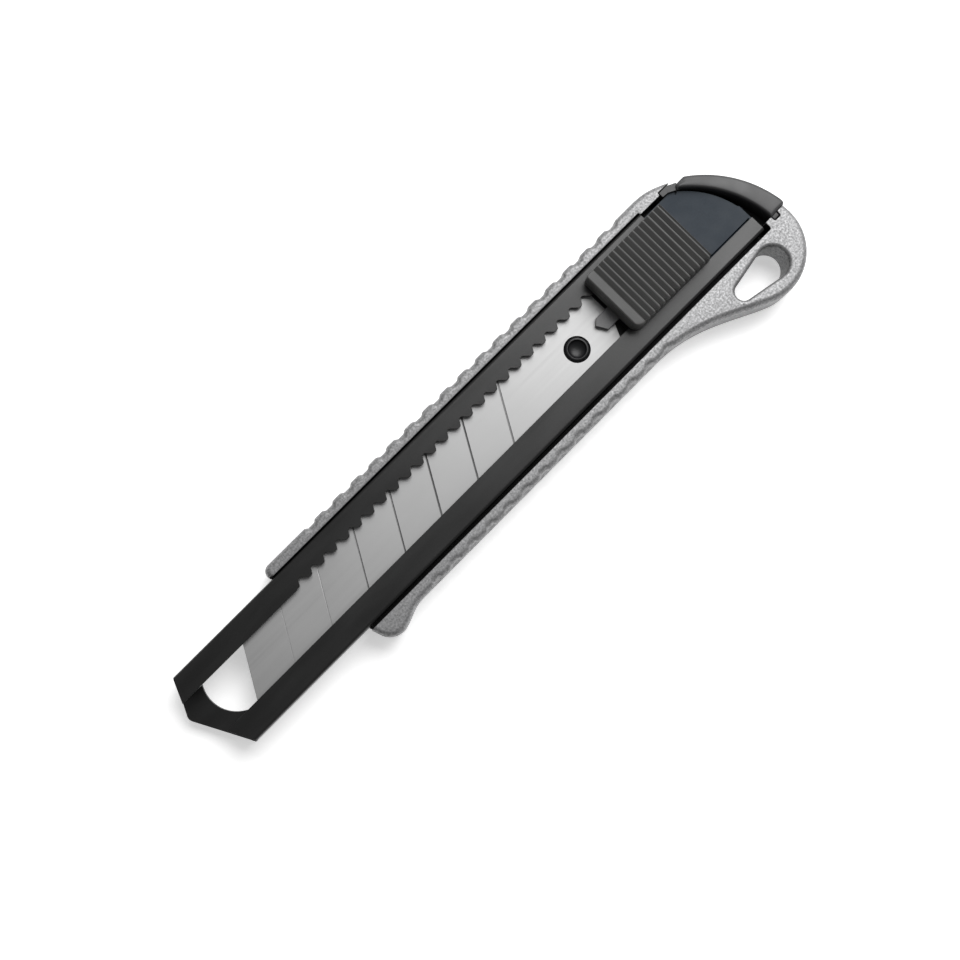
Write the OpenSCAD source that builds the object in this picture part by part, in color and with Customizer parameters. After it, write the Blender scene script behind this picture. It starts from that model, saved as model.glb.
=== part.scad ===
// Auto-lock cutter with an 18 mm snap-off blade.
// X runs along the knife, from the blade tip (-X) to the lanyard end (+X). Y = 0 is the middle of the
// blade channel, the ratchet is on the +Y lip and the lanyard lobe on the -Y side. Z = 0 is the flat
// back. The blade is stored fully retracted and the lock is stored released, as a thumb holds it.

/* [Handle casting] */
// Front end of the handle on the ratchet side
handle_front = -42.3; // [-44:0.1:-41]
// Outer side face on the ratchet side
side_y = 12.6; // [12.4:0.1:13]
// Outer side face on the lobe side, as a distance from the channel middle
low_side_y = 13.3; // [12.8:0.1:13.6]
// Height of the side walls
handle_h = 8; // [7.6:0.1:8.2]
// Thickness of the floor under the channel
floor_h = 2.4; // [2:0.1:2.4]
// Radius of the rear end
rear_r = 24.6; // [24.4:0.05:24.8]
// Radius of the lanyard lobe
lobe_r = 11.2; // [10.8:0.1:11.3]
// Spacing of the grip scallops
scallop_pitch = 4.91; // [4.7:0.01:5]
// Depth of a grip scallop
scallop_depth = 0.5; // [0.2:0.05:0.6]

/* [Blade channel] */
// Half of the channel's outer width
channel_half = 9.9; // [9.8:0.05:10]
// Sheet thickness
sheet = 0.8; // [0.7:0.05:0.9]
// Spacing of the ratchet notches
notch_pitch = 3.38; // [3.3:0.01:3.4]
// Number of ratchet notches
notch_count = 28; // [27:1:28]
// Radius of the round window under the blade tip
window_r = 7; // [5:0.1:7]

/* [Blade] */
// Width of the blade
blade_w = 18; // [17.8:0.1:18]
// Thickness of the blade
blade_t = 0.5; // [0.4:0.05:0.5]
// Spacing of the score lines
score_pitch = 10; // [9:0.1:10]
// Number of score lines
score_count = 7; // [5:1:8]

/* [Thumb button] */
// Length of the ribbed pad
pad_len = 20.8; // [20:0.1:21.1]
// Top of the ribs above the back
pad_top = 12.6; // [12:0.1:13.5]
// Number of cross ribs behind the smooth front bar
rib_count = 13; // [8:1:13]
// Spacing of the ribs
rib_pitch = 1.39; // [1:0.01:1.39]

/* [Motion] */
// Free travel of the button that works the lock
button_travel = 1.2; // [0.8:0.1:1.2]
// Swing of the pawl between free and engaged, in degrees
pawl_swing = 5.8; // [5:0.1:6]

/* [Hidden] */
$fn = 64;
eps = 0.01;
gap = 0.1;

// Heights of the stacked layers
channel_z = floor_h + gap;
plate_top = channel_z + sheet;
lip_z = 7.4;
lip_top = lip_z + sheet;
carriage_z = plate_top + gap;
shelf_top = 6.4;
blade_z = 6.45;
deck_top = blade_z + blade_t;
keeper_z = deck_top + 0.05;

// Plan of the rear end, the cap and the lanyard lobe
cap_c = [57.4, -11.4];
cap_r = 24.95;
cap_inner_c = [54.3, -10.4];
cap_inner_r = 23.85;
cap_low_y = -8.9;
cap_x = 68;
seat_x = 68.8;
skirt_in_r = 23.3;
lobe_c = [70.6, -10.8];
lobe_join = -112;
pocket_y = 10.45;
channel_end = 75.15;
channel_cut = 59.8;
ledge_y = 9.65;
ledge_end = 65.4;
notch_y = 10.3;

// Places along the channel
lip_low_y = 4.6;
lip_low_rear_y = 6.3;
lip_high_y = 5;
notch_start = -38.8;
notch_root_y = 6.35;
tooth_y = 5.12;
rivet_x = [-24, 18];
window_c = [-60.1, 1.9];

// Places on the carriage
peg_c = [31.9, -0.3];
peg_hole_r = 2.7;
peg_top = 7.3;
keeper_top = 8.1;
tang_x = 41.55;
tip_x = -57.5;
score_x0 = -47.4;
blade_slope = tan(30);
pad_x = 41.9;
pad_low_y = -6.5;
pad_high_y = 8.15;
pad_base = lip_top + 0.2;
neck_x0 = 50;
neck_x1 = 60.1;
neck_y0 = -4.2;
neck_y1 = 0.8;
neck_z = 6;
foot_top = 4.8;
slot_x0 = 44.6;
pin_c = [58.5, 2.9];
pin_r = 0.7;
nose_x = notch_start + 25 * notch_pitch;

function arc(c, r, a0, a1, n) =
    [for (i = [0:n]) c + r * [cos(a0 + (a1 - a0) * i / n), sin(a0 + (a1 - a0) * i / n)]];

function bezier(p0, p1, p2, p3, n) =
    [for (i = [1:n - 1]) let (t = i / n, u = 1 - t)
        u * u * u * p0 + 3 * u * u * t * p1 + 3 * u * t * t * p2 + t * t * t * p3];

// Outline of the handle seen from the front: finger stop, neck, lobe, round rear end and grip side.
module handle_outline() {
    neck_end = lobe_c + lobe_r * [cos(lobe_join), sin(lobe_join)];
    neck_dir = [-sin(lobe_join), cos(lobe_join)];
    rear_end = cap_c + rear_r * [cos(70), sin(70)];
    polygon(concat(
        arc([-31.2, 3.7 - 1.9 - low_side_y], 3.7, 180, 300, 16),
        [[-25.3, -low_side_y], [42.4, -low_side_y]],
        bezier([42.4, -low_side_y], [53, -low_side_y], neck_end - 7 * neck_dir, neck_end, 12),
        arc(lobe_c, lobe_r, lobe_join, 7, 28),
        arc(cap_c, rear_r, 7, 70, 20),
        bezier(rear_end, rear_end + 2 * [-sin(70), cos(70)], [62.4, side_y], [60.3, side_y], 6),
        [[60.3, side_y]],
        arc([handle_front + 1.3, side_y - 1.3], 1.3, 90, 180, 6)
    ));
}

// Plan of everything cut away above the floor: the channel's bed, the tab notches and the cap's seat.
module pocket_plan() {
    polygon([
        [-60, -pocket_y], [76.3, -pocket_y], [76.3, cap_low_y - 0.1], [77.9, cap_low_y - 0.1],
        [77.9, -10.1], [79.6, -10.1], [79.6, cap_low_y - 0.1], [90, cap_low_y - 0.1], [90, 20],
        [seat_x, 20], [seat_x, notch_y], [ledge_end, notch_y], [ledge_end, ledge_y],
        [channel_cut, ledge_y], [channel_cut, pocket_y], [-60, pocket_y]
    ]);
}

module teardrop_eye() {
    front_c = [63.4, -15.6];
    rear_eye_c = [71.6, -15.6];
    side = acos((3.3 - 1.8) / (rear_eye_c[0] - front_c[0]));
    polygon(concat(
        arc(rear_eye_c, 3.3, side - 180, 180 - side, 28),
        arc(front_c, 1.8, 180 - side, 180 + side, 16)
    ));
}

module handle_body() {
    color("silver")
    difference() {
        linear_extrude(handle_h) handle_outline();
        translate([0, 0, floor_h]) linear_extrude(handle_h) pocket_plan();
        // Seat of the cap's skirt, outside the floor
        difference() {
            translate([seat_x, cap_low_y - 0.1, -1]) cube([20, 30, handle_h]);
            translate([cap_c[0], cap_c[1], -2]) cylinder(h = handle_h + 4, r = skirt_in_r - 0.15, $fn = 128);
        }
        translate([0, 0, -1]) linear_extrude(handle_h + 2) teardrop_eye();
        for (x = rivet_x) {
            translate([x, 0, -1]) cylinder(h = floor_h + 2, r = 1.6);
            translate([x, 0, -eps]) cylinder(h = 1.1, r = 3);
        }
        grip_scallops(side_y, 1, 18);
        grip_scallops(-low_side_y, -1, 14);
    }
}

// Shallow round cuts in the upper part of one side wall
module grip_scallops(edge_y, side, count) {
    half = 1.7;
    r = (half * half + scallop_depth * scallop_depth) / (2 * scallop_depth);
    first = side > 0 ? -29.3 : -19.5;
    for (i = [0:count - 1])
        translate([first + i * scallop_pitch, edge_y + side * (r - scallop_depth), 2.6])
            cylinder(h = handle_h, r = r);
}

// Closed cross-section of the folded sheet, with a round outer bend at each corner
module channel_section() {
    bend = 0.7;
    h = lip_top - channel_z;
    difference() {
        polygon(concat(
            arc([channel_half - bend, bend], bend, -90, 0, 5),
            arc([channel_half - bend, h - bend], bend, 0, 90, 5),
            arc([bend - channel_half, h - bend], bend, 90, 180, 5),
            arc([bend - channel_half, bend], bend, 180, 270, 5)
        ));
        translate([sheet - channel_half, sheet]) square([2 * (channel_half - sheet), h - 2 * sheet]);
    }
}

// One notch: the round shoulder of one tooth, a round root and the longer slope of the next tooth
module ratchet_notch() {
    root_r = 0.6;
    polygon(concat(
        [[-1, tooth_y - 2], [-1, tooth_y]],
        arc([-0.45, tooth_y + 0.45], 0.45, -90, -20, 4),
        arc([0.85, notch_root_y - root_r], root_r, 160, 60, 6),
        arc([2.55, tooth_y + 0.6], 0.6, 220, 270, 4),
        [[2.6, tooth_y - 2]]
    ));
}

module blade_channel() {
    x0 = -74;
    lip_cut = 20;
    color("dimgray")
    difference() {
        translate([x0, 0, channel_z])
            rotate([90, 0, 90]) linear_extrude(channel_end - x0) channel_section();
        // Slot between the lips
        translate([0, 0, lip_z - eps]) linear_extrude(sheet + 1) polygon([
            [x0 - 1, -lip_low_y], [pad_x + 2, -lip_low_y], [pad_x + 4, -lip_low_rear_y],
            [channel_end + 1, -lip_low_rear_y], [channel_end + 1, lip_high_y], [x0 - 1, lip_high_y]]);
        translate([0, 0, lip_z - 1]) linear_extrude(sheet + 2)
            for (i = [0:notch_count - 1]) translate([notch_start + i * notch_pitch, 0]) ratchet_notch();
        // Ratchet lip and its wall stop short of the rear end
        translate([channel_cut, 0, plate_top]) cube(lip_cut);
        translate([channel_cut, channel_half - sheet - 0.3, 0]) cube(lip_cut);
        // Back plate trimmed round, inside the cap's skirt
        difference() {
            translate([channel_cut, -3, 0]) cube([lip_cut, 20, plate_top + eps]);
            translate([cap_c[0], cap_c[1], -1]) cylinder(h = 10, r = skirt_in_r - 0.6, $fn = 128);
        }
        // Slanted front ends: the back plate reaches 1 mm past the lips
        translate([0, 0, channel_z - 1]) linear_extrude(10) difference() {
            translate([x0 - 1, -15]) square([16, 30]);
            polygon(concat([[-40, 15], [-67, 15]], [[-69.1, channel_half]],
                arc([-71, 2.4], 1.6, 157, 206, 5), [[-66.4, -channel_half], [-64, -15], [-40, -15]]));
        }
        translate([0, 0, plate_top + 0.2]) linear_extrude(10) difference() {
            translate([x0 - 1, -15]) square([16, 30]);
            polygon([[-40, 15], [-66.1, 15], [-68.3, channel_half], [-71.3, 2.9], [-71.3, 2],
                     [-65.4, -channel_half], [-62.9, -15], [-40, -15]]);
        }
        translate([window_c[0], window_c[1], 0]) cylinder(h = plate_top + 1, r = window_r);
        for (x = rivet_x) translate([x, 0, 0]) cylinder(h = plate_top + 1, r = 1.6);
    }
}

// Two flush rivets that hold the channel down on the handle's floor
module channel_rivets() {
    color("gray")
    for (x = rivet_x) translate([x, 0, 0]) {
        translate([0, 0, 0.3]) cylinder(h = plate_top - 0.32, r = 1.55);
        translate([0, 0, 0.3]) cylinder(h = 0.75, r = 2.9);
    }
}

// Plan of the blade: slanted tip, square tang with one cut corner
module blade_plan() {
    half = blade_w / 2;
    polygon([[tip_x - half * blade_slope, -half], [37.7, -half], [tang_x, -0.4], [tang_x, half],
             [tip_x + half * blade_slope, half]]);
}

module blade() {
    half = blade_w / 2;
    grind = 2;
    color("lightgray")
    difference() {
        intersection() {
            translate([-70, 0, blade_z]) rotate([90, 0, 90]) linear_extrude(130)
                polygon([[half, 0], [half, blade_t], [grind - half, blade_t], [-half, blade_t / 2 + 0.02],
                         [-half, blade_t / 2 - 0.02], [grind - half, 0]]);
            translate([0, 0, blade_z - 1]) linear_extrude(blade_t + 2) blade_plan();
        }
        translate([peg_c[0], peg_c[1], blade_z - 1]) cylinder(h = blade_t + 2, r = peg_hole_r);
        // Score lines on the face
        for (i = [0:score_count - 1])
            translate([score_x0 + i * score_pitch, 0, blade_z + blade_t - 0.1])
                rotate([0, 0, -30]) translate([-0.1, -20, 0]) cube([0.2, 40, 1]);
    }
}

// Plan of the carriage: straight sides, a square front and a round tail
module carriage_plan() {
    half = 8.8;
    intersection() {
        polygon(concat([[27, -half], [75.4, -half]], [[75.4, -3]],
            arc([56.7, -6.5], 18.8, 12, 55, 12), [[66, half], [27, half]]));
        translate([27, -half]) square([50, 2 * half]);
    }
}

module blade_carriage() {
    color([0.25, 0.28, 0.32])
    difference() {
        translate([0, 0, carriage_z]) linear_extrude(deck_top - carriage_z) carriage_plan();
        // Shelf under the blade
        translate([20, -10, shelf_top]) cube([tang_x + 0.1 - 20, 20, 5]);
        translate([peg_c[0], peg_c[1], carriage_z - 1]) cylinder(h = 5, r = 1.5);
        // Slot for the button's neck, wider below for its foot
        translate([slot_x0, neck_y0 - 0.15, carriage_z - 1]) cube([61.5 - slot_x0, neck_y1 - neck_y0 + 0.3, 10]);
        translate([49.6, neck_y0 - 1.4, carriage_z - 1]) cube([61.9 - 49.6, neck_y1 - neck_y0 + 2.8, 2.6]);
        translate([42.5, -1.65, 5.1]) cube([1.4, 2.7, 5]);
        translate([pin_c[0], pin_c[1], 4.6]) cylinder(h = 5, r = pin_r);
    }
}

// Round peg that carries the blade by its tang hole, with a dished top
module blade_peg() {
    color("black")
    translate([peg_c[0], peg_c[1], 0])
    difference() {
        union() {
            translate([0, 0, shelf_top]) cylinder(h = peg_top - shelf_top, r = peg_hole_r - 0.1);
            translate([0, 0, carriage_z + 0.1]) cylinder(h = 4, r = 1.5 - 0.02);
        }
        translate([0, 0, peg_top + 4.2]) sphere(r = 4.6);
    }
}

// Arrow-shaped spring tab that holds the tang down on the peg
module blade_keeper() {
    color("dimgray") {
        translate([0, 0, keeper_z]) linear_extrude(keeper_top - keeper_z)
            polygon([[37.6, 0.3], [38.9, -1.95], [44, -1.95], [44, 1.35], [38.7, 1.35]]);
        translate([42.6, -1.6, 5.3]) cube([1.2, 2.6, keeper_z - 5.3 + eps]);
    }
}

module thumb_button() {
    w = pad_high_y - pad_low_y;
    body_top = pad_top - 0.8;
    color([0.34, 0.33, 0.32]) {
        difference() {
            union() {
                translate([pad_x, pad_low_y, pad_base]) cube([pad_len, w, body_top - pad_base]);
                // Smooth bar along the front, then the ribs
                translate([pad_x + 0.5, pad_low_y, body_top - eps]) cube([1.8, w, 0.8]);
                for (i = [0:rib_count - 1])
                    translate([pad_x + 3.5 + i * rib_pitch, pad_low_y, body_top - eps]) cube([0.6, w, 0.8]);
            }
            // Bevel along the front edge
            translate([pad_x + 0.2, pad_low_y - 1, body_top + 0.1])
                rotate([0, 20, 0]) translate([-3, 0, -4]) cube([3, w + 2, 6]);
        }
        translate([neck_x0, neck_y0, neck_z])
            cube([neck_x1 - neck_x0, neck_y1 - neck_y0, pad_base - neck_z + eps]);
    }
}

// Foot that traps the button's neck in the carriage
module button_foot() {
    color("gray") {
        translate([neck_x0, neck_y0 - 1.1, carriage_z + 0.15])
            cube([neck_x1 - neck_x0, neck_y1 - neck_y0 + 2.2, foot_top - carriage_z - 0.15]);
        translate([neck_x0, neck_y0 + 0.1, foot_top - eps])
            cube([neck_x1 - neck_x0, neck_y1 - neck_y0 - 0.2, neck_z - foot_top]);
    }
}

// Lever with a nose that drops into a ratchet notch
module lock_pawl() {
    nose = [nose_x, notch_root_y] - pin_c;
    color("lightgray")
    translate([pin_c[0], pin_c[1], deck_top + 0.1])
    rotate([0, 0, pawl_swing])
    difference() {
        linear_extrude(1) union() {
            circle(r = 1.5);
            polygon([[0, -0.8], [0, 1.1], [nose[0] + 2.1, 1.1], [nose[0] + 1.7, nose[1] - 1],
                     [nose[0] + 1.05, nose[1] - 0.25], [nose[0] + 0.6, nose[1] - 0.25],
                     [nose[0] + 0.35, nose[1] - 0.5], [nose[0] + 0.3, -0.6]]);
        }
        translate([0, 0, -1]) cylinder(h = 3, r = pin_r + 0.05);
    }
}

module pawl_pin() {
    color("gray")
    translate([pin_c[0], pin_c[1], 4.7]) cylinder(h = 8.15 - 4.7, r = pin_r);
}

// Compression spring between the carriage and the button's neck
module lock_spring() {
    turns = 5;
    coil_r = 0.85;
    wire_r = 0.16;
    steps = turns * 14;
    sides = 8;
    x0 = slot_x0 + 0.2;
    len = neck_x0 - slot_x0 - 0.4;
    function centre(i) = [x0 + wire_r + (len - 2 * wire_r) * i / steps,
                          coil_r * cos(360 * turns * i / steps), coil_r * sin(360 * turns * i / steps)];
    function ring(i) = let (a = 360 * turns * i / steps)
        [for (k = [0:sides - 1]) centre(i)
            + wire_r * cos(360 * k / sides) * [0, cos(a), sin(a)]
            + wire_r * sin(360 * k / sides) * [1, 0, 0]];
    points = [for (i = [0:steps]) each ring(i)];
    walls = [for (i = [0:steps - 1], k = [0:sides - 1])
        [i * sides + k, i * sides + (k + 1) % sides,
         (i + 1) * sides + (k + 1) % sides, (i + 1) * sides + k]];
    caps = [[for (k = [0:sides - 1]) sides - 1 - k], [for (k = [0:sides - 1]) steps * sides + k]];
    color("lightgray")
    translate([0, (neck_y0 + neck_y1) / 2, 5.4]) polyhedron(points, concat(walls, caps));
}

// Curved cover of the rear end: a thick outer band, a thin floor inside it and two tabs
module end_cap() {
    cap_top = 8.4;
    band_z = plate_top + 0.2;
    color([0.36, 0.36, 0.36]) {
        translate([0, 0, band_z]) linear_extrude(cap_top - band_z) crescent_plan();
        // Skirt that covers the floor's edge
        translate([0, 0, 0.3]) linear_extrude(band_z) intersection() {
            difference() {
                translate(cap_c) circle(r = cap_r, $fn = 128);
                translate(cap_c) circle(r = skirt_in_r, $fn = 128);
            }
            cap_region();
        }
        // Thin floor of the cavity
        translate([0, 0, floor_h + gap]) linear_extrude(0.8) intersection() {
            translate(cap_c) circle(r = cap_r - 1, $fn = 128);
            translate([75.6, cap_low_y]) square([10, 15]);
        }
        // Tabs at both ends
        translate([78, -9.9, 4.4]) cube([1.5, 1.2, 3.4]);
        translate([ledge_end + 0.2, 9.3, 4.4]) cube([cap_x + 1.5 - ledge_end, 0.9, 3.2]);
    }
}

module cap_region() {
    polygon([[cap_x + 0.9, cap_low_y], [90, cap_low_y], [90, 20], [cap_x + 0.9, 20]]);
}

// Crescent between the outer round and the wider inner round
module crescent_plan() {
    intersection() {
        difference() {
            translate(cap_c) circle(r = cap_r, $fn = 128);
            translate(cap_inner_c) circle(r = cap_inner_r, $fn = 128);
        }
        cap_region();
    }
}

handle_body();
blade_channel();
channel_rivets();
blade();
blade_carriage();
blade_peg();
blade_keeper();
thumb_button();
button_foot();
lock_pawl();
pawl_pin();
lock_spring();
end_cap();
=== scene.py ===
"""Looks of the auto-lock cutter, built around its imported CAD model.

Lengths in the shape code are millimetres in the model's own frame: X along the knife, Y across it towards
the ratchet lip, Z up from the flat back. new_mesh() turns them into metres.
"""

import math

import bmesh
import bpy
from mathutils import Matrix, Vector
from mathutils.geometry import delaunay_2d_cdt


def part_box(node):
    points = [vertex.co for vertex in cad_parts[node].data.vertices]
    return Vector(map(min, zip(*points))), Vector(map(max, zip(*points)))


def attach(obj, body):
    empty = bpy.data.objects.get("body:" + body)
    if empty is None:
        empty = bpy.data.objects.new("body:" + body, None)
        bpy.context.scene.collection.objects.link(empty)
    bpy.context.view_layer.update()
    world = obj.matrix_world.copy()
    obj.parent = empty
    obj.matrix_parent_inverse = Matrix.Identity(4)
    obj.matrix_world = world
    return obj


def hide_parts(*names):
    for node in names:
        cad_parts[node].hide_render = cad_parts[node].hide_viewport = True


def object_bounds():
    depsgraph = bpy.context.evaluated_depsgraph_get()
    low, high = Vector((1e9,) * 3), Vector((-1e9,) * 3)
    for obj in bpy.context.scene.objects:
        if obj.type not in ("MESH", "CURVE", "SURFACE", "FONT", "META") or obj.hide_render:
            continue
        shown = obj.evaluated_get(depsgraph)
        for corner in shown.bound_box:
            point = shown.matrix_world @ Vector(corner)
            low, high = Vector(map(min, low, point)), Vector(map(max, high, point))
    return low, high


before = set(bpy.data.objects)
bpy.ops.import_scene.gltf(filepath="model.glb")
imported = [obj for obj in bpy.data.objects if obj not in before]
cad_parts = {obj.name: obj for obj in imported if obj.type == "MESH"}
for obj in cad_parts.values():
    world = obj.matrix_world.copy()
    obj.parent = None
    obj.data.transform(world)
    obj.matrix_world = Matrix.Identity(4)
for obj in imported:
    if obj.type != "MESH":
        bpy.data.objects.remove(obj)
CAD_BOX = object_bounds()
MM = 0.001


def low(node):
    """Lowest corner of a CAD node, in millimetres."""
    return [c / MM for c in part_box(node)[0]]


def high(node):
    """Highest corner of a CAD node, in millimetres."""
    return [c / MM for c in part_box(node)[1]]


# ---------------------------------------------------------------- outlines

def arc(centre, radius, start, end, steps):
    """Points on a circle from one angle to another, in degrees."""
    points = []
    for i in range(steps + 1):
        a = math.radians(start + (end - start) * i / steps)
        points.append((centre[0] + radius * math.cos(a), centre[1] + radius * math.sin(a)))
    return points


def quarter(steps):
    """Sine and cosine of evenly spaced angles from 0 to 90 degrees."""
    angles = [math.pi / 2 * i / steps for i in range(steps + 1)]
    return [(math.sin(a), math.cos(a)) for a in angles]


def bezier(p0, p1, p2, p3, steps):
    """Inner points of a cubic curve."""
    points = []
    for i in range(1, steps):
        t = i / steps
        u = 1 - t
        points.append(tuple(u**3 * a + 3 * u * u * t * b + 3 * u * t * t * c + t**3 * d
                            for a, b, c, d in zip(p0, p1, p2, p3)))
    return points


def line(p, q, step):
    """Points from p up to, but not including, q, about one step apart."""
    count = max(1, round(math.dist(p, q) / step))
    return [(p[0] + (q[0] - p[0]) * i / count, p[1] + (q[1] - p[1]) * i / count) for i in range(count)]


def rounded(corners, radii, steps=6):
    """A polygon with each corner turned into an arc. radii is one radius, or a list with one a corner."""
    points = []
    count = len(corners)
    for i, corner in enumerate(corners):
        here = Vector(corner)
        radius = radii[i] if isinstance(radii, list) else radii
        if radius <= 0:
            points.append(tuple(here))
            continue
        back = (Vector(corners[i - 1]) - here).normalized()
        ahead = (Vector(corners[(i + 1) % count]) - here).normalized()
        half = back.angle(ahead) / 2
        run = radius / math.tan(half)
        centre = here + (back + ahead).normalized() * (radius / math.sin(half))
        first = here + back * run - centre
        last = here + ahead * run - centre
        turn = math.atan2(first.x * last.y - first.y * last.x, first.dot(last))
        for k in range(steps + 1):
            points.append(tuple(centre + Matrix.Rotation(turn * k / steps, 2) @ first))
    return points


def rounded_box(x0, y0, x1, y1, radius):
    """A rectangle with equal round corners."""
    return rounded([(x0, y0), (x1, y0), (x1, y1), (x0, y1)], radius)


def inward(loop):
    """Unit-offset directions into a counter-clockwise loop, lengthened at corners."""
    result = []
    count = len(loop)
    for i in range(count):
        a, b, c = Vector(loop[i - 1]), Vector(loop[i]), Vector(loop[(i + 1) % count])
        d1, d2 = (b - a).normalized(), (c - b).normalized()
        n1, n2 = Vector((-d1.y, d1.x)), Vector((-d2.y, d2.x))
        n = n1 + n2
        n = n.normalized() if n.length > 1e-6 else n1
        result.append(n / max(0.4, n.dot(n1)))
    return result


# ---------------------------------------------------------------- meshes

def flat_fill(loops):
    """Triangles that fill the plan between closed loops. Each is three indices into the joined loops."""
    points = [Vector(p) for loop in loops for p in loop]
    edges = []
    start = 0
    for loop in loops:
        edges += [(start + i, start + (i + 1) % len(loop)) for i in range(len(loop))]
        start += len(loop)
    verts, _, faces, origin, _, _ = delaunay_2d_cdt(points, edges, [], 0, 1e-7)
    keep = []
    for face in faces:
        middle = sum((verts[v] for v in face), Vector((0, 0))) / len(face)
        if sum(inside(middle, loop) for loop in loops) % 2:
            if not all(origin[v] for v in face):
                crossing = next(verts[v] for v in face if not origin[v])
                raise ValueError(f"an outline crosses itself near {tuple(crossing)}")
            keep.append([origin[v][0] for v in face])
    return keep


def inside(point, loop):
    """True if a point is inside a closed loop."""
    hit = False
    for i in range(len(loop)):
        (x1, y1), (x2, y2) = loop[i - 1], loop[i]
        if (y1 > point[1]) != (y2 > point[1]):
            if point[0] < x1 + (point[1] - y1) * (x2 - x1) / (y2 - y1):
                hit = not hit
    return hit


def add_object(name, data):
    """An object of any kind, linked into the scene."""
    thing = bpy.data.objects.new(name, data)
    bpy.context.collection.objects.link(thing)
    return thing


def new_mesh(name, verts, faces, smooth=35):
    """An object from points in millimetres, with edges sharper than an angle left sharp."""
    mesh = bpy.data.meshes.new(name)
    mesh.from_pydata([[c * MM for c in v] for v in verts], [], faces)
    build = bmesh.new()
    build.from_mesh(mesh)
    bmesh.ops.remove_doubles(build, verts=build.verts, dist=1e-7)
    bmesh.ops.recalc_face_normals(build, faces=build.faces)
    build.to_mesh(mesh)
    build.free()
    piece = add_object(name, mesh)
    shade(piece, smooth)
    return piece


def shade(piece, angle=35):
    """Smooth shading that keeps flat faces flat and hard edges hard."""
    piece.data.shade_smooth()
    piece.data.set_sharp_from_angle(angle=math.radians(angle))
    step = piece.modifiers.new("flat_faces", "WEIGHTED_NORMAL")
    step.weight = 100
    step.keep_sharp = True
    apply_modifiers(piece)


def prism(name, loop, profile, warp=None):
    """A closed solid over a loop. Each profile row is (inward offset, height), from the bottom up.

    warp(x, y, height) may add to a point's inward offset."""
    normals = inward(loop)
    verts = []
    for offset, z in profile:
        for (x, y), n in zip(loop, normals):
            d = offset + (warp(x, y, z) if warp else 0)
            verts.append((x + n.x * d, y + n.y * d, z))
    count = len(loop)
    faces = []
    for row in range(len(profile) - 1):
        a, b = row * count, (row + 1) * count
        for i in range(count):
            j = (i + 1) % count
            faces.append((a + i, a + j, b + j, b + i))
    bottom = flat_fill([[v[:2] for v in verts[:count]]])
    top = flat_fill([[v[:2] for v in verts[-count:]]])
    faces += [tuple(reversed(f)) for f in bottom]
    faces += [tuple(v + len(verts) - count for v in f) for f in top]
    return new_mesh(name, verts, faces)


def loft(name, sections, smooth):
    """A closed solid through a row of sections, which are closed loops of 3-D points."""
    count = len(sections[0])
    verts = [point for section in sections for point in section]
    faces = []
    for row in range(len(sections) - 1):
        a, b = row * count, (row + 1) * count
        for i in range(count):
            j = (i + 1) % count
            faces.append((a + i, b + i, b + j, a + j))
    faces.append(tuple(range(count)))
    faces.append(tuple(reversed(range(len(verts) - count, len(verts)))))
    return new_mesh(name, verts, faces, smooth)


def lathe(name, centre, profile, steps, smooth):
    """A solid of revolution about an upright axis, from (radius, height) rows that start and end on it."""
    verts, faces = [], []
    for radius, z in profile:
        for i in range(steps):
            a = 2 * math.pi * i / steps
            verts.append((centre[0] + radius * math.cos(a), centre[1] + radius * math.sin(a), z))
    for row in range(len(profile) - 1):
        a, b = row * steps, (row + 1) * steps
        for i in range(steps):
            j = (i + 1) % steps
            faces.append((a + i, a + j, b + j, b + i))
    return new_mesh(name, verts, faces, smooth)


def join(main, others):
    """Adds other pieces' meshes to the main one and deletes the others."""
    build = bmesh.new()
    for piece in [main] + others:
        build.from_mesh(piece.data)
    build.to_mesh(main.data)
    build.free()
    for piece in others:
        bpy.data.objects.remove(piece, do_unlink=True)


def round_edges(z0, z1, bottom, top, steps=4):
    """Profile of a wall with a round lower and upper edge."""
    lower = [(bottom * (1 - sin), z0 + bottom * (1 - cos)) for sin, cos in quarter(steps)]
    upper = [(top * (1 - cos), z1 - top * (1 - sin)) for sin, cos in quarter(steps)]
    return lower + upper


def carve(piece, cutters):
    """Cuts solids out of a piece with exact booleans and deletes the cutters."""
    for cutter in cutters:
        step = piece.modifiers.new("carve", "BOOLEAN")
        step.operation = "DIFFERENCE"
        step.solver = "EXACT"
        step.object = cutter
        apply_modifiers(piece)
        bpy.data.objects.remove(cutter, do_unlink=True)


def apply_modifiers(piece):
    """Turns what a piece's modifiers do into its mesh."""
    graph = bpy.context.evaluated_depsgraph_get()
    mesh = bpy.data.meshes.new_from_object(piece.evaluated_get(graph))
    old = piece.data
    piece.modifiers.clear()
    piece.data = mesh
    bpy.data.meshes.remove(old)


def bevelled_node(node, name, width, segments=2):
    """A copy of a CAD node's shape with its flat faces joined and its hard edges rounded."""
    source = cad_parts[node]
    mesh = source.data.copy()
    build = bmesh.new()
    build.from_mesh(mesh)
    build.transform(source.matrix_world)
    bmesh.ops.remove_doubles(build, verts=build.verts, dist=2e-7)
    bmesh.ops.dissolve_limit(build, angle_limit=math.radians(0.5), verts=build.verts, edges=build.edges)
    build.to_mesh(mesh)
    build.free()
    mesh.materials.clear()
    piece = add_object(name, mesh)
    if width:
        step = piece.modifiers.new("round", "BEVEL")
        step.width = width * MM
        step.segments = segments
        step.limit_method = "ANGLE"
        step.angle_limit = math.radians(40)
        step.use_clamp_overlap = True
        step.miter_outer = "MITER_ARC"
        apply_modifiers(piece)
    shade(piece)
    return piece


# ---------------------------------------------------------------- materials

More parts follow.
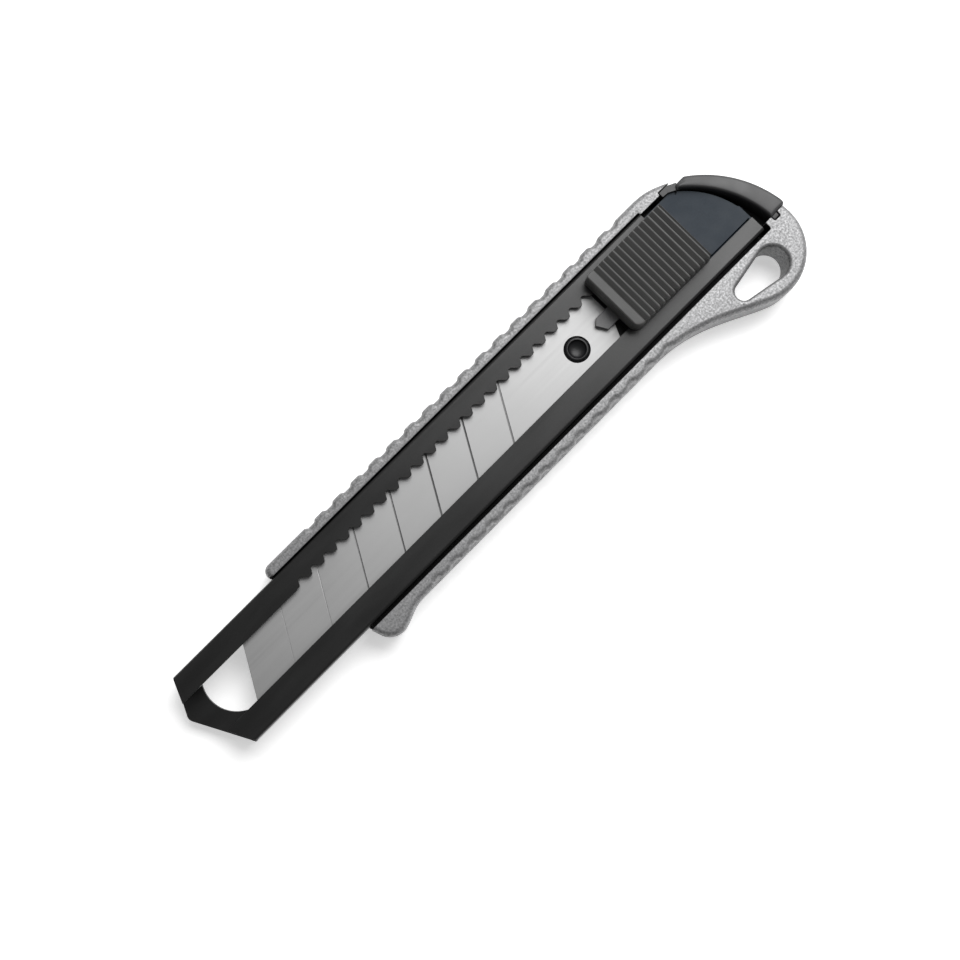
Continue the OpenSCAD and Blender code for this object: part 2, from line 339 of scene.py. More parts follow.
class Shader:
    """A short way to write a material's nodes."""

    def __init__(self, name, **settings):
        self.material = bpy.data.materials.new(name)
        self.material.use_nodes = True
        self.tree = self.material.node_tree
        self.surface = self.tree.nodes["Principled BSDF"]
        for key, value in settings.items():
            self.surface.inputs[key.replace("_", " ").title().replace("Ior", "IOR")].default_value = value
        self.place = self.tree.nodes.new("ShaderNodeTexCoord").outputs["Object"]

    def link(self, a, b):
        self.tree.links.new(a, b)

    def noise(self, size_mm, detail, roughness=0.5):
        """Noise whose largest features are about a size across."""
        return self.noise_at(self.place, 1 / (size_mm * MM), detail, roughness)

    def streaks(self, cycles, detail):
        """Noise stretched by its own number of cycles a metre along X, Y and Z."""
        node = self.tree.nodes.new("ShaderNodeMapping")
        node.inputs["Scale"].default_value = cycles
        self.link(self.place, node.inputs["Vector"])
        return self.noise_at(node.outputs["Vector"], 1.0, detail, 0.5)

    def noise_at(self, vector, scale, detail, roughness):
        node = self.tree.nodes.new("ShaderNodeTexNoise")
        node.inputs["Scale"].default_value = scale
        node.inputs["Detail"].default_value = detail
        node.inputs["Roughness"].default_value = roughness
        self.link(vector, node.inputs["Vector"])
        return node.outputs["Fac"]

    def cells(self, size_mm):
        """Distance to the nearest of many scattered points."""
        node = self.tree.nodes.new("ShaderNodeTexVoronoi")
        node.inputs["Scale"].default_value = 1 / (size_mm * MM)
        self.link(self.place, node.inputs["Vector"])
        return node.outputs["Distance"]

    def ramp(self, value, *stops):
        """A colour or grey ramp: stops are (position, grey or colour)."""
        node = self.tree.nodes.new("ShaderNodeValToRGB")
        elements = node.color_ramp.elements
        while len(elements) < len(stops):
            elements.new(0.5)
        for element, (place, colour) in zip(elements, stops):
            element.position = place
            grey = isinstance(colour, (int, float))
            element.color = (colour, colour, colour, 1) if grey else (*colour, 1)
        self.link(value, node.inputs["Fac"])
        return node.outputs["Color"]

    def mix(self, factor, first, second):
        """Blend of two colours. factor is a number or another node's output."""
        node = self.tree.nodes.new("ShaderNodeMix")
        node.data_type = "RGBA"
        part, colour_a, colour_b = (node.inputs[i] for i in (0, 6, 7))
        if isinstance(factor, float):
            part.default_value = factor
        else:
            self.link(factor, part)
        self.link(first, colour_a)
        self.link(second, colour_b)
        return node.outputs[2]

    def bump(self, height, distance_mm, strength, after=None):
        """Fine relief in the surface's normal, on top of an earlier bump if one is given."""
        node = self.tree.nodes.new("ShaderNodeBump")
        node.inputs["Distance"].default_value = distance_mm * MM
        node.inputs["Strength"].default_value = strength
        self.link(height, node.inputs["Height"])
        if after:
            self.link(after, node.inputs["Normal"])
        self.link(node.outputs["Normal"], self.surface.inputs["Normal"])
        return node.outputs["Normal"]

    def colour(self, value):
        self.link(value, self.surface.inputs["Base Color"])

    def roughness(self, value):
        self.link(value, self.surface.inputs["Roughness"])


def hammertone_paint():
    """Silver paint with a fine sandy grain on die-cast metal."""
    s = Shader("hammertone_silver", metallic=0.7)
    grain = s.noise(0.42, 3.0, roughness=0.6)
    blotch = s.noise(6.0, 2.0)
    tint = s.ramp(grain, (0.32, (0.15, 0.15, 0.153)), (0.50, (0.26, 0.26, 0.264)),
                  (0.68, (0.40, 0.40, 0.405)))
    s.colour(s.mix(0.25, tint, s.ramp(blotch, (0.3, 0.23), (0.7, 0.29))))
    s.roughness(s.ramp(grain, (0.3, 0.60), (0.7, 0.45)))
    first = s.bump(s.noise(0.55, 2.0), 0.035, 0.7)
    s.bump(s.cells(0.30), 0.02, 0.5, first)
    return s.material


def black_coating():
    """Satin black coat on sheet steel."""
    s = Shader("black_coating")
    fine = s.noise(0.25, 4.0)
    smear = s.streaks((60, 320, 200), 3.0)
    s.colour(s.mix(0.3, s.ramp(fine, (0.3, 0.006), (0.7, 0.011)), s.ramp(smear, (0.35, 0.006), (0.7, 0.012))))
    s.roughness(s.ramp(smear, (0.3, 0.30), (0.7, 0.38)))
    s.bump(fine, 0.012, 0.5)
    return s.material


def ground_steel(name, base, rough, cycles, depth=0.35):
    """Steel with a fine grind, from its cycles a metre along X, Y and Z."""
    s = Shader(name, metallic=1.0)
    grind = s.streaks(cycles, 5.0)
    stain = s.noise(12.0, 3.0)
    s.colour(s.mix(0.35, s.ramp(grind, (0.3, base * 0.97), (0.7, base * 1.03)),
                   s.ramp(stain, (0.3, base * 0.94), (0.7, base * 1.04))))
    s.roughness(s.ramp(grind, (0.3, rough - 0.03), (0.7, rough + 0.04)))
    s.bump(grind, 0.006, depth)
    return s.material


def moulded_plastic(name, base, rough, grain_mm, depth, shine=0.5):
    """Plastic with a fine moulded grain and slightly uneven gloss."""
    s = Shader(name, specular_ior_level=shine)
    grain = s.noise(grain_mm, 3.0)
    cloud = s.noise(5.0, 2.0)
    dark = tuple(c * 0.88 for c in base)
    light = tuple(c * 1.14 for c in base)
    s.colour(s.mix(0.35, s.ramp(grain, (0.3, dark), (0.7, light)), s.ramp(cloud, (0.3, dark), (0.7, light))))
    s.roughness(s.ramp(cloud, (0.3, rough - 0.05), (0.7, rough + 0.06)))
    s.bump(grain, depth, 0.6)
    return s.material


# Where the carriage's painted shade ends and its slate tail begins.
SLATE_X = 45


def slate_tail_painted_shade():
    """Slate-blue plastic on the tail, behind the button; in front of it, near black as painted shade for the
    dark gap between the blade's end and the button.
    """
    s = Shader("carriage_tail_slate_painted_shade", roughness=0.5, specular_ior_level=0.22)
    grain = s.noise(0.5, 3.0)
    split = s.tree.nodes.new("ShaderNodeSeparateXYZ")
    s.link(s.place, split.inputs["Vector"])
    tail = s.tree.nodes.new("ShaderNodeMapRange")
    tail.inputs["From Min"].default_value = (SLATE_X - 1) * MM
    tail.inputs["From Max"].default_value = (SLATE_X + 1) * MM
    s.link(split.outputs["X"], tail.inputs["Value"])
    slate = s.ramp(grain, (0.3, (0.0120, 0.0195, 0.0285)), (0.7, (0.0145, 0.0230, 0.0340)))
    # Near black below SLATE_X is painted shade; the slate above it is the tail's own colour.
    s.colour(s.mix(tail.outputs["Result"], s.ramp(grain, (0.3, 0.003), (0.7, 0.005)), slate))
    s.roughness(s.ramp(s.noise(5.0, 2.0), (0.3, 0.45), (0.7, 0.56)))
    s.bump(grain, 0.012, 0.6)
    return s.material


def dress(piece, material, body, *nodes):
    """Gives a piece its material and body, and hides the CAD nodes that it stands for."""
    piece.data.materials.clear()
    piece.data.materials.append(material)
    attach(piece, body)
    if nodes:
        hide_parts(*nodes)


# ---------------------------------------------------------------- handle casting

HANDLE_FRONT = low("handle_body")[0]
HANDLE_TOP = high("handle_body")[2]

# The arcs that the end cap and the handle share
CAP_CENTRE = (57.4, -11.4)
CAP_RADIUS = 24.95
SKIRT_RADIUS = 23.3
CAP_LOW_Y = -8.9

# The outline, where angles are in degrees
SIDE_Y = 12.6
LOW_SIDE_Y = 13.3
SIDE_END = 60.3
FRONT_RADIUS = 1.7
STOP_CENTRE = (-31.2, 1.8 - LOW_SIDE_Y)
STOP_RADIUS = 3.7
GRIP_START, GRIP_END = -24, 42.4
LOBE_CENTRE = (70.6, -10.8)
LOBE_RADIUS = 11.2
LOBE_START = -112
REAR_RADIUS = 24.6
REAR_END = 70
OUTLINE_STEP = 0.35
SCALLOP_PITCH = 4.91
SCALLOP_DEPTH = 0.5
TOP_ROUND = 1.25

# The channel's bed, the cap's seat, the lanyard eye and the rivet holes
BED_FLOOR = low("blade_channel")[2] - 0.1
BED_LOW_Y, BED_HIGH_Y = -10.65, 10.2
BED_END_X = 76.3
BED_END_Y = CAP_LOW_Y - 0.1
SEAT_X = 68.8
NOTCH_Y = 10.3
EYE_LOW_ROUND, EYE_TOP_ROUND = 0.5, 0.75
RIVET_X = (-24, 18)
BORE_RADIUS = 1.6
SINK_RADIUS = 3.0


def handle_outline():
    """Plan of the handle: finger stop, straight grip, neck, lobe, round rear end and grip side."""
    a = math.radians(LOBE_START)
    meet = (LOBE_CENTRE[0] + LOBE_RADIUS * math.cos(a), LOBE_CENTRE[1] + LOBE_RADIUS * math.sin(a))
    tangent = (-math.sin(a), math.cos(a))
    grip_start, grip_end = (GRIP_START, -LOW_SIDE_Y), (GRIP_END, -LOW_SIDE_Y)
    stop = arc(STOP_CENTRE, STOP_RADIUS, 198, 285, 18)
    points = stop[:-1]
    points += bezier(stop[-1], (-27.6, -LOW_SIDE_Y - 0.95), (-26.5, -LOW_SIDE_Y), grip_start, 10)
    points += line(grip_start, grip_end, OUTLINE_STEP)
    points += [grip_end]
    points += bezier(grip_end, (53, -LOW_SIDE_Y),
                     (meet[0] - 7 * tangent[0], meet[1] - 7 * tangent[1]), meet, 40)
    points += arc(LOBE_CENTRE, LOBE_RADIUS, LOBE_START, 4, 60)
    rear = arc(CAP_CENTRE, REAR_RADIUS, 12, REAR_END, 45)
    a = math.radians(REAR_END)
    lead = (rear[-1][0] - 2 * math.sin(a), rear[-1][1] + 2 * math.cos(a))
    front_x = HANDLE_FRONT + FRONT_RADIUS
    points += rear + bezier(rear[-1], lead, (62.4, SIDE_Y), (SIDE_END, SIDE_Y), 14)
    points += line((SIDE_END, SIDE_Y), (front_x, SIDE_Y), OUTLINE_STEP)
    points += arc((front_x, SIDE_Y - FRONT_RADIUS), FRONT_RADIUS, 90, 198, 12)
    return points


def ease(value, start, end):
    """Smooth step from 0 to 1."""
    t = min(1.0, max(0.0, (value - start) / (end - start)))
    return t * t * (3 - 2 * t)


def scallops(x, y, z):
    """Extra inward offset of the grip scallops, which fade out towards the base and at both ends."""
    upper = y > 0
    first, last = (-29.3, 54.2) if upper else (-19.5, 44.3)
    if abs(y - (SIDE_Y if upper else -LOW_SIDE_Y)) >= 1.8:
        return 0
    if x < first - SCALLOP_PITCH / 2 or x > last + SCALLOP_PITCH / 2:
        return 0
    away = abs((x - first) / SCALLOP_PITCH - round((x - first) / SCALLOP_PITCH)) * SCALLOP_PITCH
    return SCALLOP_DEPTH * (1 - ease(away, 0.65, 1.5)) * ease(z, 2.2, 3.6)


def flared(z0, z1, flare, steps=4):
    """Cutter profile that widens in a quarter round up to height z1, then goes on straight."""
    curve = [(-flare * (1 - cos), z1 - flare + flare * sin) for sin, cos in quarter(steps)]
    return [(0, z0)] + curve + [(-flare, z1 + 3)]


def teardrop():
    """Outline of the lanyard eye: two circles and the straight lines that touch both."""
    front, rear, r_front, r_rear = (63.4, -15.6), (71.6, -15.6), 1.8, 3.3
    side = math.degrees(math.acos((r_rear - r_front) / (rear[0] - front[0])))
    return arc(rear, r_rear, side - 180, 180 - side, 40) + arc(front, r_front, 180 - side, 180 + side, 20)


def make_handle():
    """The casting with its scallops, the channel's bed, the cap's seat, the lanyard eye and rivet holes."""
    top = HANDLE_TOP
    profile = [(0.55, 0), (0.3, 0.08), (0.1, 0.25), (0, 0.55), (0, 2.2), (0, 2.6), (0, 3.0), (0, 3.4),
               (0.02, 5.2)]
    for sin, cos in quarter(7)[1:]:
        profile.append((0.02 + TOP_ROUND * (1 - cos), top - TOP_ROUND * 1.15 * (1 - sin)))
    body = prism("handle_casting", handle_outline(), profile, scallops)

    plan = rounded(
        [(-60, BED_LOW_Y), (BED_END_X, BED_LOW_Y), (BED_END_X, BED_END_Y), (77.9, BED_END_Y), (77.9, -10.1),
         (79.6, -10.1), (79.6, BED_END_Y), (95, BED_END_Y), (95, 25), (SEAT_X, 25), (SEAT_X, NOTCH_Y),
         (65.4, NOTCH_Y), (65.4, 9.65), (59.8, 9.65), (59.8, BED_HIGH_Y), (-60, BED_HIGH_Y)],
        [0, 0.5, 0.3, 0.3, 0.25, 0.25, 0.3, 0, 0, 0, 0, 0.25, 0.3, 0.28, 0.25, 0])
    bed = prism("bed", plan, flared(BED_FLOOR, top, 0.12))

    seat_radius = SKIRT_RADIUS - 0.15
    start = math.degrees(math.asin((BED_END_Y - CAP_CENTRE[1]) / seat_radius))
    stop = math.degrees(math.acos((SEAT_X - CAP_CENTRE[0]) / seat_radius))
    skirt = arc(CAP_CENTRE, seat_radius, stop, start, 40)
    seat = prism("seat", [(95, BED_END_Y), (95, 25), (SEAT_X, 25)] + skirt, [(0, -2), (0, 12)])

    eye_wall = [(-EYE_LOW_ROUND, -1), (-EYE_LOW_ROUND, 0)]
    eye_wall += [(-EYE_LOW_ROUND * (1 - sin), EYE_LOW_ROUND * (1 - cos)) for sin, cos in quarter(5)[1:]]
    eye_wall += [(-EYE_TOP_ROUND * (1 - cos), top - EYE_TOP_ROUND * (1 - sin)) for sin, cos in quarter(6)]
    eye_wall.append((-EYE_TOP_ROUND, top + 2))
    eye = prism("eye", teardrop(), eye_wall)

    holes = []
    for x in RIVET_X:
        bore, sink = (arc((x, 0), radius, 0, 355, 47) for radius in (BORE_RADIUS, SINK_RADIUS))
        holes.append(prism("bore", bore, [(0, -1), (0, 5)]))
        holes.append(prism("sink", sink, [(-0.3, -1), (-0.3, 0), (0, 0.3), (0, 1.1)]))
    carve(body, [bed, seat, eye] + holes)
    shade(body, 32)
    dress(body, hammertone_paint(), "handle", "handle_body")

    # The faces of the channel's bed are painted near black: painted shade for the deep, narrow gap beside the
    # channel.
    body.data.materials.append(moulded_plastic("bed_painted_shade", (0.012, 0.012, 0.012), 0.6, 0.4, 0.02, 0.2))
    for face in body.data.polygons:
        x, y, z = [c / MM for c in face.center]
        in_plan = x < BED_END_X + 0.1 and BED_LOW_Y - 0.05 < y < NOTCH_Y + 0.05
        if in_plan and BED_FLOOR - 0.05 < z < top - 0.1:
            face.material_index = 1


# ---------------------------------------------------------------- thumb button

PAD_LOW = low("thumb_button")
PAD_HIGH = high("thumb_button")
PAD_BASE = high("blade_channel")[2] + 0.2
RIB_PITCH = 1.388
RIB_DEPTH = 0.55
RIB_DROP = 0.17
RIB_GAIN = 1.22
BAR_START = PAD_LOW[0] + 0.2
FIRST_RIB = PAD_LOW[0] + 2.15


def rib_height(x):
    """Height of the ribs at x, from 0 to 1: a long slope up to a narrow crest, then a steep drop."""
    along = (x - FIRST_RIB) / RIB_PITCH % 1
    if along < RIB_DROP:
        return 1 - along / RIB_DROP
    return min(1.0, RIB_GAIN * (along - RIB_DROP) / (1 - RIB_DROP))


def pad_top(x):
    """Height of the pad along its middle."""
    top = PAD_HIGH[2]
    if x < BAR_START:
        t = (x - PAD_LOW[0]) / (BAR_START - PAD_LOW[0])
        return PAD_BASE + 0.05 + (top - 0.3 - PAD_BASE) * t ** 0.7
    if x < FIRST_RIB:
        return top - 0.25 + 0.25 * math.sin(math.pi / 2 * min(1, (x - BAR_START) / 0.35))
    return top - RIB_DEPTH + RIB_DEPTH * rib_height(x)


def pad_section(x):
    """Closed outline of the pad at x, from the lower side over the top to the ratchet side."""
    top = pad_top(x)
    front = x - PAD_LOW[0]
    low_round, high_round = 2.3, 0.9
    y0, y1 = PAD_LOW[1], PAD_HIGH[1]
    if front < low_round:
        y0 += low_round - math.sqrt(low_round**2 - (low_round - front) ** 2)
    if front < high_round:
        y1 -= high_round - math.sqrt(high_round**2 - (high_round - front) ** 2)
    ribbed = ease(x, FIRST_RIB - 0.7, FIRST_RIB)
    wall = y0 + 0.18 + 0.45 * ribbed * (1 - rib_height(x))
    low_edge, high_edge = 0.32, 0.3
    rows = [(y0, PAD_BASE), (y0, min(PAD_BASE + 0.55, top - 0.30)),
            (y0 + 0.06, min(PAD_BASE + 0.7, top - 0.26)), (wall, min(PAD_BASE + 1.0, top - 0.24))]
    rows += [(wall + low_edge * (1 - cos), top - 0.22 * (1 - sin)) for sin, cos in quarter(6)]
    inner0, inner1 = wall + low_edge, y1 - high_edge
    rows += [(inner0 + (inner1 - inner0) * i / 24, top) for i in range(1, 24)]
    rows += [(inner1 + high_edge * sin, top - 0.2 * (1 - cos)) for sin, cos in quarter(5)]
    rows.append((y1, PAD_BASE))
    return [(x, y, z) for y, z in rows]


def make_button():
    """The ribbed pad with a stem down through the channel's slot, cut finely enough for its ribs."""
    xs = []
    x = PAD_LOW[0] + 0.004
    while x < PAD_HIGH[0] - 0.03:
        xs.append(x)
        x += 0.02 if x < BAR_START else 0.04
    xs.append(PAD_HIGH[0])
    pad = loft("ribbed_pad", [pad_section(x) for x in xs], 40)
    neck = rounded_box(50, -4.2, 60.1, 0.8, 0.4)
    stem = prism("stem", neck, round_edges(6, PAD_BASE + 0.05, 0.2, 0.02))
    join(pad, [stem])
    shade(pad, 40)
    dress(pad, moulded_plastic("button_plastic", (0.052, 0.052, 0.051), 0.46, 0.16, 0.015),
          "button", "thumb_button")


# ---------------------------------------------------------------- end cap

CAP_TOP = high("end_cap")[2]
CAP_BASE = low("end_cap")[2]
CAP_INNER_CENTRE = (54.3, -10.4)
CAP_INNER_RADIUS = 23.6
CAP_FLAT_Y = 9.1
CAP_END_X = 68.95
CROWN = 1.1
BAND_BASE = 3.5
PLATE_X = 75.7


def reach(centre, radius, angle):
    """Distance from the cap's centre to a circle, along an angle in radians."""
    d = Vector((math.cos(angle), math.sin(angle)))
    to = Vector(CAP_CENTRE) - Vector(centre)
    b = d.dot(to)
    return -b + math.sqrt(b * b - to.length_squared + radius * radius)


def cap_section(angle, drop):
    """Section of the cap's band at an angle. drop lowers and narrows it towards the band's ends.

    Known fault: at the high end this narrows the band to less than SKIRT_RADIUS, so its last sections
    fold over and run up to 0.7 mm into the parts beside them."""
    outer = min(CAP_RADIUS, (CAP_FLAT_Y - CAP_CENTRE[1]) / max(1e-6, math.sin(angle))) - 0.5 * drop
    inner = reach(CAP_INNER_CENTRE, CAP_INNER_RADIUS, angle)
    inner = min(inner, outer - CROWN)
    width = outer - inner
    rows = [(outer - 0.25, CAP_BASE), (outer - 0.05, CAP_BASE + 0.12), (outer, CAP_BASE + 0.4)]
    rows += [(outer, z) for z in (2.0, 3.6, 5.2, CAP_TOP - CROWN)]
    side = min(0.9, 0.4 * width)
    roll = min(0.55, 0.3 * width)
    rows += [(outer - side * (1 - cos), CAP_TOP - CROWN + 0.9 * sin) for sin, cos in quarter(6)[1:]]
    for i in range(1, 7):
        t = i / 6
        across = outer - side - (width - side - roll) * t
        rows.append((across, CAP_TOP - 0.2 + 0.2 * math.sin(math.pi * 0.6 * t)))
    edge = rows[-1][1]
    rows += [(inner + roll * (1 - sin), edge - 0.8 * (1 - cos)) for sin, cos in quarter(6)[1:]]
    rows.append((inner + 0.05, BAND_BASE + 0.1))
    rows.append((max(inner + 0.1, SKIRT_RADIUS), BAND_BASE))
    rows.append((SKIRT_RADIUS, BAND_BASE - 0.1) if inner < SKIRT_RADIUS else (inner + 0.1, BAND_BASE - 0.1))
    rows.append((SKIRT_RADIUS, CAP_BASE + 0.1))
    rows.append((SKIRT_RADIUS + 0.1, CAP_BASE))
    cx, cy = CAP_CENTRE
    return [(cx + r * math.cos(angle), cy + r * math.sin(angle), min(z, CAP_TOP - drop)) for r, z in rows]


def make_cap():
    """The curved cover, with the plate that holds it and a tab at each end."""
    start = math.asin((CAP_LOW_Y - CAP_CENTRE[1]) / CAP_RADIUS)
    stop = math.atan2(CAP_FLAT_Y - CAP_CENTRE[1], CAP_END_X - CAP_CENTRE[0])
    sections = []
    steps = 90
    for i in range(steps + 1):
        angle = start + (stop - start) * i / steps
        end = min(i, steps - i) * (stop - start) / steps * CAP_RADIUS
        drop = CROWN * (1 - math.sqrt(1 - (1 - min(1, end / CROWN)) ** 2))
        sections.append(cap_section(angle, drop))
    cap = loft("cap_cover", sections, 38)
    inner = [p for p in arc(CAP_CENTRE, CAP_RADIUS - 1.5, 8, 50, 30) if p[0] > PLATE_X]
    plate = [(PLATE_X, CAP_LOW_Y + 0.05), (inner[0][0], CAP_LOW_Y + 0.05)] + inner
    extras = [prism("plate", plate, [(0.05, 2.55), (0, 2.6), (0, 3.25), (0.05, 3.3)])]
    tab = rounded_box(78.05, -9.9, 79.45, -8.6, 0.35)
    extras.append(prism("low_tab", tab, round_edges(4.4, 7.8, 0.1, 0.2)))
    tab = rounded([(65.65, 9.0), (67.0, 8.92), (69.6, 7.6), (69.6, 9.3), (67.8, 10.15), (65.65, 10.15)],
                  [0.15, 0.3, 0.12, 0.12, 0.4, 0.2])
    extras.append(prism("high_tab", tab, round_edges(4.4, 7.6, 0.06, 0.08)))
    join(cap, extras)
    shade(cap, 38)
    dress(cap, moulded_plastic("cap_plastic", (0.036, 0.036, 0.037), 0.48, 0.2, 0.01),
          "cap", "end_cap")


# ---------------------------------------------------------------- peg

PEG_STEM = 1.48
PEG_HEAD = 2.42
PEG_FLANGE = 2.6
PEG_SHELF = 6.4
BOWL_RADIUS = 1.85
BOWL_DEPTH = 0.95
BOWL_LIP = 0.08


def make_peg():
    """The peg: a stem, a flange on the blade and a head with a bowl in its top."""
    top, base = high("blade_peg")[2], low("blade_peg")[2]
    centre = [(a + b) / 2 for a, b in zip(low("blade_peg")[:2], high("blade_peg")[:2])]
    profile = [(0, base), (PEG_STEM - 0.08, base), (PEG_STEM, base + 0.08), (PEG_STEM, PEG_SHELF),
               (PEG_FLANGE, PEG_SHELF), (PEG_FLANGE, PEG_SHELF + 0.1), (PEG_HEAD, PEG_SHELF + 0.2),
               (PEG_HEAD, top - 0.4)]
    profile += [(PEG_HEAD - 0.42 * (1 - cos), top - 0.4 + 0.4 * sin) for sin, cos in quarter(7)[1:]]
    profile += [(BOWL_RADIUS + BOWL_LIP * (1 - sin), top - BOWL_LIP * (1 - cos)) for sin, cos in quarter(4)]
    profile += [(BOWL_RADIUS * cos, top - BOWL_LIP - BOWL_DEPTH * sin) for sin, cos in quarter(12)[1:]]
    peg = lathe("dished_peg", centre, profile, 72, 50)
    dress(peg, moulded_plastic("peg_black", (0.008, 0.008, 0.009), 0.34, 0.3, 0.006, 0.3),
          "carriage", "blade_peg")


# ---------------------------------------------------------------- pieces that keep their CAD shape

LOWER_LIP_Y = -6.3
SCORE_START = -47.4
SCORE_PITCH = 10
SCORE_COUNT = 7
BLADE_SLOPE = math.tan(math.radians(30))


def make_blade():
    """The blade with its score lines cut as narrow grooves, wider and deeper towards the tang."""
    blade = bevelled_node("blade", "snap_blade", 0.03)
    top = high("blade")[2]
    along = Vector((BLADE_SLOPE, 1)).normalized()
    across = Vector((along.y, -along.x))
    middle = (low("blade")[1] + high("blade")[1]) / 2
    cutters = []
    for i in range(SCORE_COUNT):
        centre = Vector((SCORE_START + i * SCORE_PITCH, middle))
        growth = min(1, i / 4)
        half, deep = 0.12 + 0.08 * growth, 0.11 + 0.08 * growth
        verts = []
        for end in (-14, 14):
            for side, z in ((-half, top + 0.02), (half, top + 0.02), (0.85 * half, top - deep),
                            ((0.6 - 1.45 * growth) * half, top - deep)):
                p = centre + along * end + across * side
                verts.append((p.x, p.y, z))
        faces = [(0, 1, 2, 3), (7, 6, 5, 4), (0, 4, 5, 1), (1, 5, 6, 2), (2, 6, 7, 3), (3, 7, 4, 0)]
        cutters.append(new_mesh("score", verts, faces))
    carve(blade, cutters)
    shade(blade)
    dress(blade, ground_steel("blade_steel", 0.43, 0.55, (30, 1900, 500), 0.08), "carriage", "blade")

    # Faces inside the deeper grooves get darker steel: painted shade for the grooves towards the tang.
    blade.data.materials.append(ground_steel("score_painted_shade", 0.21, 0.5, (700, 700, 700)))
    for face in blade.data.polygons:
        x, y, z = [c / MM for c in face.center]
        steps = ((x - SCORE_START) * across.x + (y - middle) * across.y) / (SCORE_PITCH * across.x)
        if z < top - 0.04 and steps > 1.5 and abs(steps - round(steps)) < 0.03:
            face.material_index = 1


def make_carriage():
    """The slider, with a narrow groove where its raised tail meets the lower lip."""
    block = bevelled_node("blade_carriage", "carriage_block", 0.35, 3)
    edge, top = LOWER_LIP_Y, high("blade_carriage")[2]
    groove = rounded_box(58, edge - 0.1, 75.0, edge + 0.42, 0.12)
    carve(block, [prism("groove", groove, [(0, top - 0.9), (0, top + 0.5)])])
    shade(block)
    dress(block, slate_tail_painted_shade(), "carriage", "blade_carriage")


def make_plain_pieces():
    """Pieces with the shape of their CAD node, each with its own edge rounding and material."""
    tool_steel = ground_steel("tool_steel", 0.5, 0.34, (300, 300, 1500))
    rows = [
        ("blade_channel", "channel_sheet", "handle", 0.1, black_coating()),
        ("channel_rivets", "rivet_heads", "handle", 0.15,
         ground_steel("rivet_zinc", 0.55, 0.4, (500, 500, 500))),
        ("blade_keeper", "keeper_tab", "carriage", 0.16,
         moulded_plastic("keeper_grey", (0.112, 0.112, 0.114), 0.42, 0.2, 0.008)),
        ("button_foot", "button_foot_block", "button", 0.15,
         moulded_plastic("foot_plastic", (0.05, 0.05, 0.05), 0.5, 0.2, 0.01)),
        ("lock_pawl", "pawl_lever", "pawl", 0.08, tool_steel),
        ("pawl_pin", "pawl_pivot", "carriage", 0.08, tool_steel),
        ("lock_spring", "spring_wire", "carriage", 0, ground_steel("spring_wire", 0.6, 0.3, (600, 600, 600))),
    ]
    for node, name, body, width, material in rows:
        dress(bevelled_node(node, name, width), material, body, node)


# ---------------------------------------------------------------- camera, light and floor

AIM = Vector((0.6, -4.6, 0)) * MM
CAMERA_LEAN = (-0.0703, -0.0468)
CAMERA_DISTANCE = 260 * MM
CAMERA_ROLL = math.radians(-0.2)
LENS = 48.66
SOFTBOX_PLACE = Vector((0.38, 0.14, 0.50))
SOFTBOX_AIM = Vector((0.06, 0, 0))
SOFTBOX_SIDE = 0.5
SOFTBOX_POWER = 4.7
BRIGHT_SIDE = (0.97, 0.24, 0)
WORLD_GREYS = ((0.0, 0.30), (0.40, 0.22), (0.50, 0.30), (0.68, 0.72), (1.0, 1.0))
WORLD_STRENGTH = 0.65
FLOOR_GAP = 0.2 * MM
FLOOR_GLOW = 0.45


def make_camera():
    """A camera almost straight above, with the knife's length running up to the right at 45 degrees."""
    data = bpy.data.cameras.new("camera")
    data.lens = LENS
    data.sensor_width = 36
    data.clip_start = 0.01
    data.clip_end = 50
    camera = add_object("camera", data)
    lean_x, lean_y = CAMERA_LEAN
    back = Vector((lean_x, lean_y, math.sqrt(1 - lean_x**2 - lean_y**2)))
    right = Vector((1, 1, 0)).normalized().cross(back).normalized()
    up = back.cross(right)
    turned = Matrix.Rotation(CAMERA_ROLL, 3, back)
    right, up = turned @ right, turned @ up
    camera.matrix_world = Matrix((right, up, back)).transposed().to_4x4()
    camera.location = AIM + back * CAMERA_DISTANCE
    bpy.context.scene.camera = camera


def make_softbox():
    """A large soft light high over the lanyard end."""
    data = bpy.data.lights.new("rear_softbox", "AREA")
    data.shape = "SQUARE"
    data.size = SOFTBOX_SIDE
    data.energy = SOFTBOX_POWER
    lamp = add_object("rear_softbox", data)
    lamp.location = SOFTBOX_PLACE
    lamp.rotation_mode = "QUATERNION"
    lamp.rotation_quaternion = (SOFTBOX_AIM - SOFTBOX_PLACE).to_track_quat("-Z", "Y")


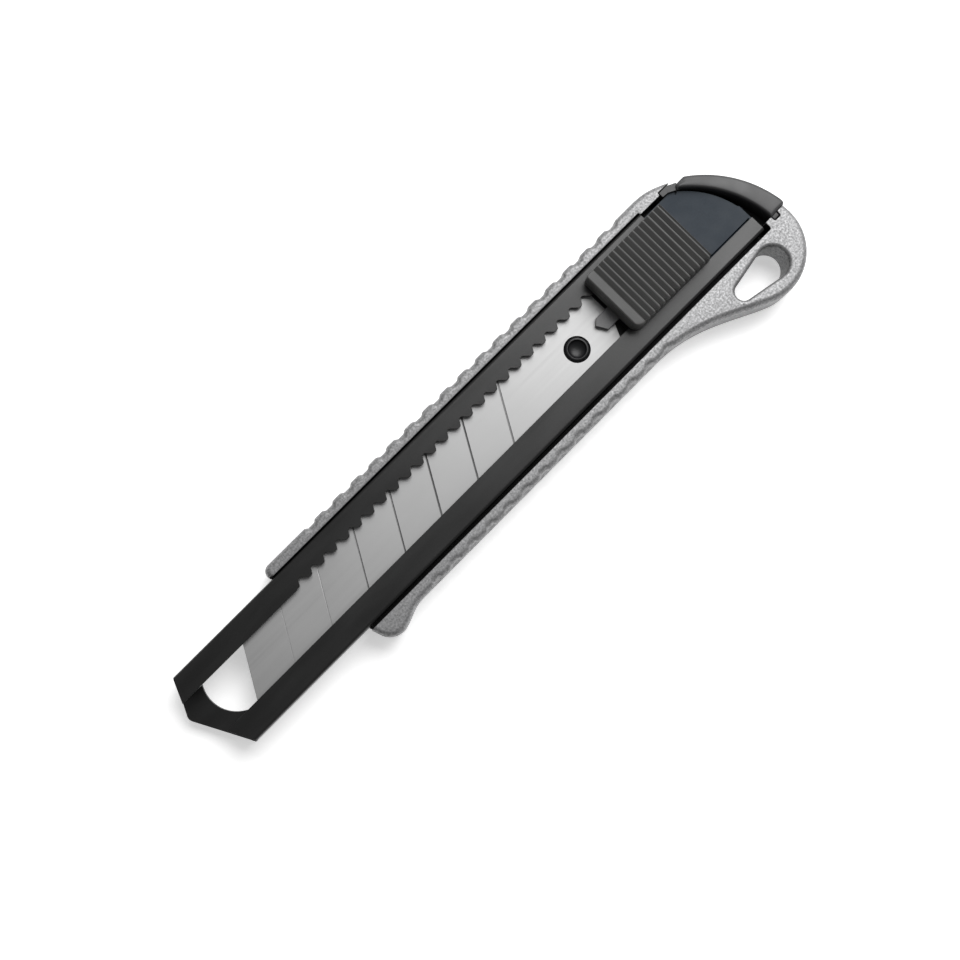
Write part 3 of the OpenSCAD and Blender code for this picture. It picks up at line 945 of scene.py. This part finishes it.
def make_studio():
    """Soft light from all round, dim overhead and at the tip's end, brighter towards the lanyard end."""
    world = bpy.data.worlds.new("studio")
    world.use_nodes = True
    tree = world.node_tree
    place = tree.nodes.new("ShaderNodeTexCoord").outputs["Generated"]
    towards = tree.nodes.new("ShaderNodeVectorMath")
    towards.operation = "DOT_PRODUCT"
    towards.inputs[1].default_value = BRIGHT_SIDE
    tree.links.new(place, towards.inputs[0])
    spread = tree.nodes.new("ShaderNodeMapRange")
    spread.inputs["From Min"].default_value = -1
    tree.links.new(towards.outputs["Value"], spread.inputs["Value"])
    ramp = tree.nodes.new("ShaderNodeValToRGB")
    ramp.color_ramp.interpolation = "EASE"
    while len(ramp.color_ramp.elements) < len(WORLD_GREYS):
        ramp.color_ramp.elements.new(0.5)
    for element, (where, grey) in zip(ramp.color_ramp.elements, WORLD_GREYS):
        element.position = where
        element.color = (grey, grey, grey, 1)
    tree.links.new(spread.outputs["Result"], ramp.inputs["Fac"])
    background = tree.nodes["Background"]
    background.inputs["Strength"].default_value = WORLD_STRENGTH
    tree.links.new(ramp.outputs["Color"], background.inputs["Color"])
    bpy.context.scene.world = world


def make_stage():
    """A plain pale floor just under the knife, and the light."""
    build = bmesh.new()
    bmesh.ops.create_grid(build, x_segments=8, y_segments=8, size=3)
    mesh = bpy.data.meshes.new("floor")
    build.to_mesh(mesh)
    build.free()
    floor = add_object("floor", mesh)
    floor.location.z = CAD_BOX[0][2] - FLOOR_GAP
    s = Shader("pale_floor", roughness=0.9, specular_ior_level=0.1)
    s.colour(s.ramp(s.noise(40.0, 3.0), (0.3, 0.90), (0.7, 0.93)))
    s.surface.inputs["Emission Color"].default_value = (1, 1, 1, 1)
    s.surface.inputs["Emission Strength"].default_value = FLOOR_GLOW
    mesh.materials.append(s.material)
    bpy.context.scene.view_settings.view_transform = "Standard"
    make_studio()
    make_softbox()


# ---------------------------------------------------------------- the whole scene

make_handle()
make_camera()
make_stage()
make_plain_pieces()
make_carriage()
make_blade()
make_peg()
make_button()
make_cap()
